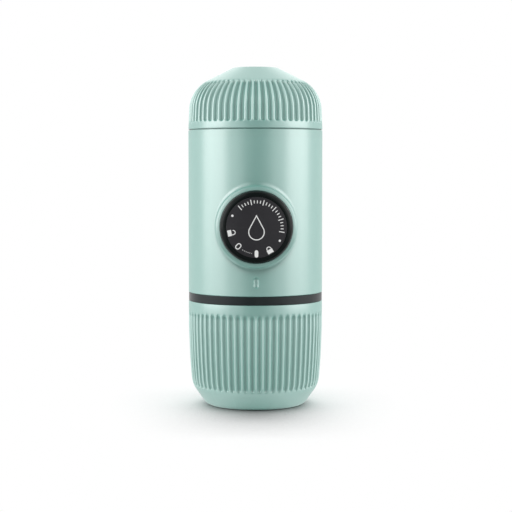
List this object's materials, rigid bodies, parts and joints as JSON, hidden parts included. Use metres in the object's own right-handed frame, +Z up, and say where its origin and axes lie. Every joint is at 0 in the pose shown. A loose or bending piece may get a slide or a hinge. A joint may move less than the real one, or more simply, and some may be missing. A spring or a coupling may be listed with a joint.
{
  "type": "handheld manual espresso maker",
  "caption": "Hand-pumped portable espresso maker: fluted screw-on water tank, body with a round twist-lock piston cap, brew head, and a fluted cup that covers it.",
  "frame": {"origin": "centre of the flat foot that the maker stands on", "axes": "+Z up along the body's axis to the cup, -Y out of the piston cap, +X to the right seen from the front"},
  "size_m": [0.0618, 0.071, 0.1552],
  "materials": {
    "mint_paint": "satin pearl mint green",
    "grey_rubber": "dark grey, fine matt",
    "black_rubber": "matt black",
    "black_plastic": "matt near-black",
    "black_gloss": "soft gloss near-black",
    "white_plastic": "natural acetal",
    "silicone": "translucent natural silicone",
    "steel": "fine brushed stainless"
  },
  "bodies": {
    "main_body": {"body_shell": "mint_paint", "brew_chamber": "black_plastic", "shower_plate": "steel", "pump_block": "black_plastic", "tie_screws": "steel", "tank_deck": "black_plastic", "tank_seal": "black_rubber", "inlet_valve": "silicone", "intake_filter": "steel", "air_vent_valve": "silicone", "outlet_spring": "steel", "rod_bush": "white_plastic", "rod_wiper": "black_rubber", "return_spring": "steel"},
    "band": {"seal_band": "grey_rubber"},
    "tank": {"water_tank": "mint_paint"},
    "basket": {"filter_basket": "steel"},
    "head": {"outlet_head": "black_plastic", "head_gasket": "black_rubber", "head_screen": "steel", "spout_nozzle": "black_plastic", "crema_valve": "silicone", "cup_grip_ring": "black_rubber"},
    "cover": {"spout_cover": "black_plastic"},
    "cup": {"cup": "mint_paint"},
    "plunger": {"plunger_rod": "steel", "plunger_seal": "black_rubber", "cap_screw": "steel"},
    "piston": {"piston_cap": "black_gloss", "cap_disc": "black_gloss"},
    "poppet": {"outlet_poppet": "white_plastic"}
  },
  "joints": [
    {"name": "tank_turn", "type": "hinge", "parent": "main_body", "child": "band", "pos_m": [0, 0, 0.0502], "axis": [0, 0, -1], "range_deg": [0, 900]},
    {"name": "tank_drop", "type": "slide", "parent": "band", "child": "tank", "axis": [0, 0, -1], "range_m": [0, 0.01502]},
    {"name": "head_rise", "type": "slide", "parent": "main_body", "child": "basket", "axis": [0, 0, 1], "range_m": [0, 0.01502]},
    {"name": "head_turn", "type": "hinge", "parent": "basket", "child": "head", "pos_m": [0, 0, 0.132], "axis": [0, 0, 1], "range_deg": [0, 900]},
    {"name": "cover_pull", "type": "slide", "parent": "head", "child": "cover", "axis": [0, 0, 1], "range_m": [0, 0.012]},
    {"name": "cup_pull", "type": "slide", "parent": "cover", "child": "cup", "axis": [0, 0, 1], "range_m": [0, 0.045]},
    {"name": "piston_stroke", "type": "slide", "parent": "main_body", "child": "plunger", "axis": [0, -1, 0], "range_m": [0, 0.015], "deforming": ["return_spring"]},
    {"name": "piston_lock", "type": "hinge", "parent": "plunger", "child": "piston", "pos_m": [0, -0.0356, 0.0833], "axis": [0, -1, 0], "range_deg": [0, 45]},
    {"name": "outlet_lift", "type": "slide", "parent": "main_body", "child": "poppet", "axis": [0, 0, 1], "range_m": [0, 0.0012], "deforming": ["outlet_spring"]}
  ],
  "couplings": [
    {"joint": "tank_drop", "follows": "tank_turn", "m_per_rad": 0.00095493},
    {"joint": "head_rise", "follows": "head_turn", "m_per_rad": 0.00095493}
  ]
}
